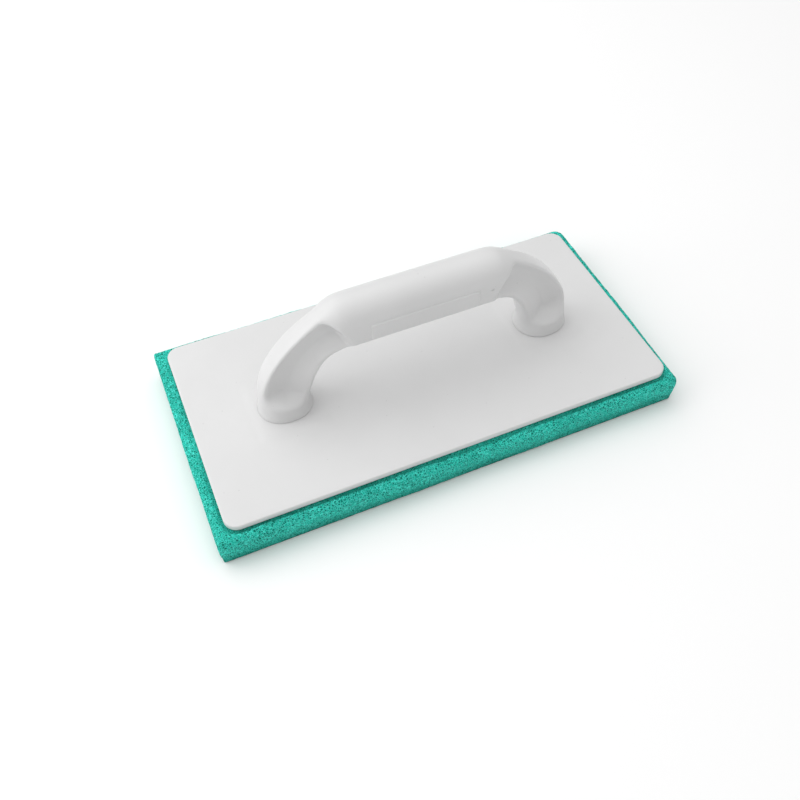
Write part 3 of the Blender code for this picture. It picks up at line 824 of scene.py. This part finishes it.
def rim_marks(cells):
    """Grid points round the rim of a grid, anticlockwise from its low corner."""
    marks = [(i, 0) for i in range(cells[0])]
    marks += [(cells[0], j) for j in range(cells[1])]
    marks += [(i, cells[1]) for i in range(cells[0], 0, -1)]
    marks += [(0, j) for j in range(cells[1], 0, -1)]
    return marks


def outline_ring(cells, low, high, corners, inset=0.0):
    """The rim's points on a rounded rectangle, drawn in by the inset."""
    edge = Vector((inset, inset))
    radii = {side: max(radius - inset, SMALLEST_RADIUS) for side, radius in corners.items()}
    return [outline_point(i, j, cells, low + edge, high - edge, radii)
            for i, j in rim_marks(cells)]


class Skin:
    """Vertices and faces gathered ring by ring, for a slab's mesh."""

    def __init__(self):
        self.vertices = []
        self.faces = []

    def add_grid(self, cells, low, high, corners, level, face_down):
        """A flat face; returns the indices of its rim."""
        index = {}
        for i in range(cells[0] + 1):
            for j in range(cells[1] + 1):
                spot = outline_point(i, j, cells, low, high, corners)
                index[i, j] = len(self.vertices)
                self.vertices.append((spot.x, spot.y, level))
        for i in range(cells[0]):
            for j in range(cells[1]):
                face = (index[i, j], index[i + 1, j], index[i + 1, j + 1], index[i, j + 1])
                self.faces.append(face[::-1] if face_down else face)
        return [index[mark] for mark in rim_marks(cells)]

    def add_ring(self, points):
        first = len(self.vertices)
        self.vertices.extend(points)
        return list(range(first, len(self.vertices)))

    def add_level_ring(self, outline, level):
        return self.add_ring([(point.x, point.y, level) for point in outline])

    def join(self, lower, upper):
        """Quads between two rings; where the upper has twice the points, five-sided faces."""
        count = len(lower)
        ratio = len(upper) // count
        for k in range(count):
            above = [upper[(ratio * k + step) % len(upper)] for step in range(ratio, -1, -1)]
            self.faces.append((lower[k], lower[(k + 1) % count], *above))

    def join_all(self, rings):
        for lower, upper in zip(rings, rings[1:]):
            self.join(lower, upper)


# ---- board --------------------------------------------------------------------------------
def seat_lift(x, y):
    """Height of the low pads that the handle's feet stand on."""
    aside = abs(abs(x - HANDLE_X) - FOOT_X) - SEAT_LENGTH / 2
    beyond = abs(y - BOARD_MIDDLE.y) - SEAT_WIDTH / 2
    return SEAT_HEIGHT * ease(-aside / SEAT_RAMP) * ease(-beyond / SEAT_RAMP)


def screw_hole(name):
    """What cuts a countersunk hole, a little larger than the screw, from the board's face."""
    low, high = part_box(name)
    place = ((low.x + high.x) / 2, (low.y + high.y) / 2, BOARD_LOW.z)
    hole = cylinder("hole_" + name, SCREW_HOLE_RADIUS, 4 * (BOARD_TOP - BOARD_LOW.z))
    hole.location = place
    radius = (high.x - low.x) / 2 + SCREW_HEAD_GAP
    work = bmesh.new()
    bmesh.ops.create_cone(work, cap_ends=True, segments=COUNTERSINK_SIDES,
                          radius1=2 * radius, radius2=0.0, depth=2 * radius)
    sink = object_from(work, "sink_" + name)
    sink.location = place
    return [hole, sink]


def board_profile():
    """(inset, level) of the rings up the board's rounded edge, between its two faces."""
    turns = [math.pi / 2 * step / BOARD_EDGE_STEPS for step in range(BOARD_EDGE_STEPS + 1)]
    profile = [(BOARD_EDGE * (1 - math.sin(turn)),
                BOARD_LOW.z + BOARD_EDGE * (1 - math.cos(turn))) for turn in turns[1:]]
    profile += [(BOARD_EDGE * (1 - math.cos(turn)),
                 BOARD_TOP - BOARD_EDGE * (1 - math.sin(turn))) for turn in turns[:-1]]
    return profile


def make_board(material):
    """The moulded board: soft edges, two low seats for the feet, countersunk holes below."""
    low, high = BOARD_LOW.xy, BOARD_HIGH.xy
    cells = (round((high.x - low.x) / BOARD_CELL), round((high.y - low.y) / BOARD_CELL))
    edge = Vector((BOARD_EDGE, BOARD_EDGE))
    face = (cells, low + edge, high - edge, even_corners(BOARD_CORNER - BOARD_EDGE))
    skin = Skin()
    rings = [skin.add_grid(*face, BOARD_LOW.z, True)]
    for inset, level in board_profile():
        outline = outline_ring(cells, low, high, even_corners(BOARD_CORNER), inset)
        rings.append(skin.add_level_ring(outline, level))
    rings.append(skin.add_grid(*face, BOARD_TOP, False))
    skin.join_all(rings)
    board = mesh_object("base_plate_moulded", skin.vertices, skin.faces)
    for vertex in board.data.vertices:
        spot = vertex.co
        if spot.z > BOARD_TOP - BOARD_SKIN:
            wave = BOARD_WAVE * noise.noise(Vector((spot.x, spot.y, 0.0)) / BOARD_WAVE_SIZE)
            spot.z += seat_lift(spot.x, spot.y) + wave
    cut(board, [tool for name in SCREW_NODES for tool in screw_hole(name)])
    shade(board, BOARD_SHARP_ANGLE)
    wear(board, material)
    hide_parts("base_plate")
    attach(board, "root")


# ---- foam pad -----------------------------------------------------------------------------
def pad_side_profile(shoulder_level):
    """(inset, level) of the rings up the pad's side, from its lower rim to its shoulder."""
    profile = []
    for step in range(1, PAD_RIM_STEPS + 1):
        turn = math.pi / 2 * step / PAD_RIM_STEPS
        profile.append((PAD_RIM * (1 - math.sin(turn)) + PAD_BELLY,
                        PAD_RIM * (1 - math.cos(turn))))
    for step in range(1, PAD_SIDE_ROWS + 1):
        share = step / PAD_SIDE_ROWS
        profile.append((PAD_BELLY * math.cos(share * math.pi / 2) ** 2,
                        mix(PAD_RIM, shoulder_level, share)))
    return profile


def shoulder_ring(step, side_outline, board_outline, shoulder_level, top):
    """Points of one ring of the pad's shoulder, which runs in to the board's edge."""
    share = 1 - math.cos(step / PAD_SHOULDER_ROWS * math.pi / 2)
    points = []
    for outer, board_point in zip(side_outline, board_outline):
        spot = outer.lerp(board_point, share)
        front = ease((board_point - outer).normalized().y)
        radius = mix(PAD_SHOULDER, PAD_FRONT_SHOULDER, front)
        fall = max(1.0 - (spot - outer).length / radius, 0.0)
        rise = (1.0 - fall ** PAD_SHOULDER_POWER) ** (1 / PAD_SHOULDER_POWER)
        start = mix(shoulder_level, top - radius, min(step / PAD_SHOULDER_LEAD, 1.0))
        pinch = PAD_PINCH * ease(1.0 - (spot - board_point).length / PAD_PINCH_REACH)
        points.append((spot.x, spot.y, start + radius * rise - pinch * front))
    return points


def roughen(pad, top):
    """Give the foam open pores and slightly uneven faces, except where it is glued."""
    mesh = pad.data
    random = np.random.default_rng(PAD_SEED)
    places = [vertex.co.copy() for vertex in mesh.vertices]
    normals = [vertex.normal.copy() for vertex in mesh.vertices]
    grain = random.uniform(-PAD_GRAIN, PAD_GRAIN, len(places))
    for vertex, place, normal, bit in zip(mesh.vertices, places, normals, grain):
        if place.z > top - PAD_GLUED:
            continue
        nearest = noise.voronoi(place / PAD_PORE)[0][0]
        amount = bit - PAD_PORE_DEPTH * (1.0 - ease(nearest / PAD_PORE_EDGE))
        if place.z > PAD_FACE_LEVEL:
            amount += PAD_LUMP * noise.noise(place / PAD_LUMP_SIZE)
            amount += PAD_SWELL * noise.noise(place / PAD_SWELL_SIZE)
        else:
            amount = -abs(amount) * PAD_FACE_ROUGHNESS
        vertex.co = place + normal * amount
        vertex.co.z = max(vertex.co.z, 0.0)


def make_pad(material):
    """The foam pad: soft lower rim, sides that draw in below, and a rounded shoulder."""
    low = PAD_LOW.xy
    high = PAD_HIGH.xy + Vector((PAD_SPREAD_X, PAD_SPREAD_Y))
    coarse = (round((high.x - low.x) / PAD_CELL), round((high.y - low.y) / PAD_CELL))
    fine = (2 * coarse[0], 2 * coarse[1])
    top = GLUE_LOW.z - PAD_TOP_GAP
    shoulder_level = top - PAD_FRONT_SHOULDER
    edge = Vector((PAD_RIM, PAD_RIM))
    rim_corners = {side: max(radius - PAD_RIM, SMALLEST_RADIUS)
                   for side, radius in PAD_CORNERS.items()}
    skin = Skin()
    rings = [skin.add_grid(coarse, low + edge, high - edge, rim_corners, 0.0, True)]
    for inset, level in pad_side_profile(shoulder_level):
        outline = outline_ring(fine, low, high, PAD_CORNERS, inset)
        rings.append(skin.add_level_ring(outline, level))
    side_outline = outline_ring(fine, low, high, PAD_CORNERS)
    board_outline = outline_ring(fine, BOARD_LOW.xy, BOARD_HIGH.xy, even_corners(BOARD_CORNER))
    for step in range(1, PAD_SHOULDER_ROWS + 1):
        rings.append(skin.add_ring(shoulder_ring(step, side_outline, board_outline,
                                                 shoulder_level, top)))
    # the flat top under the board, whose corners keep their radius as they draw in
    for inset in PAD_TOP_INSETS:
        outline = outline_ring(fine, BOARD_LOW.xy, BOARD_HIGH.xy,
                               even_corners(BOARD_CORNER + inset), inset)
        rings.append(skin.add_level_ring(outline, top))
    skin.join_all(rings)
    skin.faces.append(tuple(rings[-1]))
    pad = mesh_object("sponge_pad_foam", skin.vertices, skin.faces)
    roughen(pad, top)
    pad.data.shade_smooth()
    wear(pad, material)
    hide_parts("sponge_pad")
    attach(pad, "root")


# ---- build ------------------------------------------------------------------------------
add_camera()
add_stage()
wear(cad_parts["adhesive_layer"], dried_glue())
steel = zinc_steel()
for screw_name in SCREW_NODES:
    wear(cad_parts[screw_name], steel)
make_board(moulded_plastic("board_plastic", BOARD_WHITE, roughness=0.44,
                           grain_size=0.5 * MM, grain_strength=0.35))
make_handle(moulded_plastic("handle_plastic", HANDLE_WHITE, roughness=0.38,
                            grain_size=0.4 * MM, grain_strength=0.18))
make_pad(foam())
